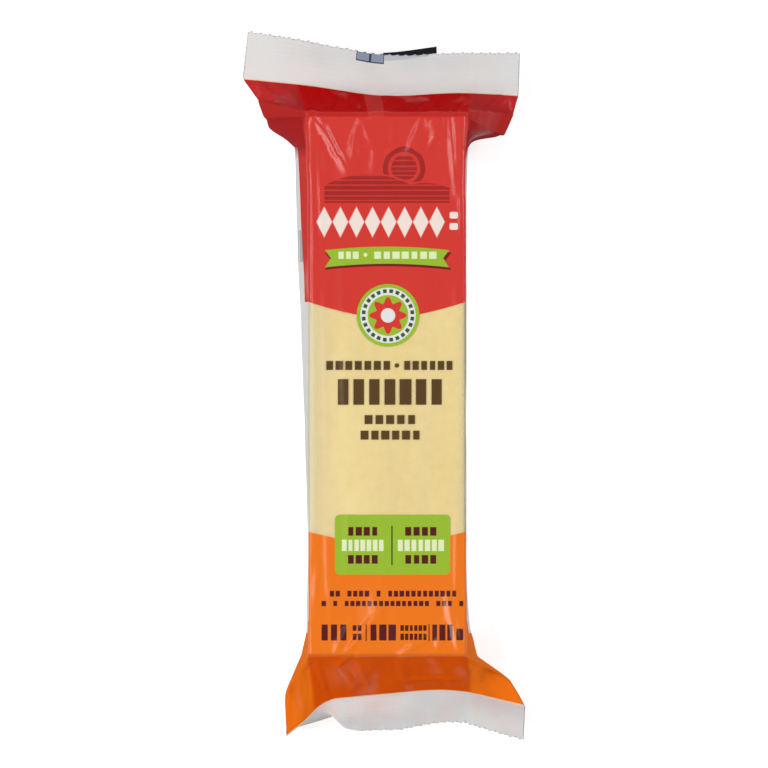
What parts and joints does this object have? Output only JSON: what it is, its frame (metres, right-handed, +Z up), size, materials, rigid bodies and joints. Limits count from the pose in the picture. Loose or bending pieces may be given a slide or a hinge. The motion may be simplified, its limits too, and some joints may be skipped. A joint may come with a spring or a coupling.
{
  "type": "wrapped cheddar block",
  "caption": "Rectangular stick of cheddar sealed in a printed, partly clear flow-wrap film with crimped, toothed end seals.",
  "frame": {"origin": "on the table, under the middle of the whole pack, which lies on its seam side", "axes": "+Y towards the head seal, +Z up through the printed front, +X to the right as the front is read"},
  "size_m": [0.0754, 0.1875, 0.0325],
  "materials": {
    "cheese": "smooth, slightly waxy cut cheese",
    "film": "glossy printed plastic film with a clear window"
  },
  "bodies": {
    "root": {"cheese_block": "cheese", "film_wrapper": "film"}
  },
  "joints": []
}
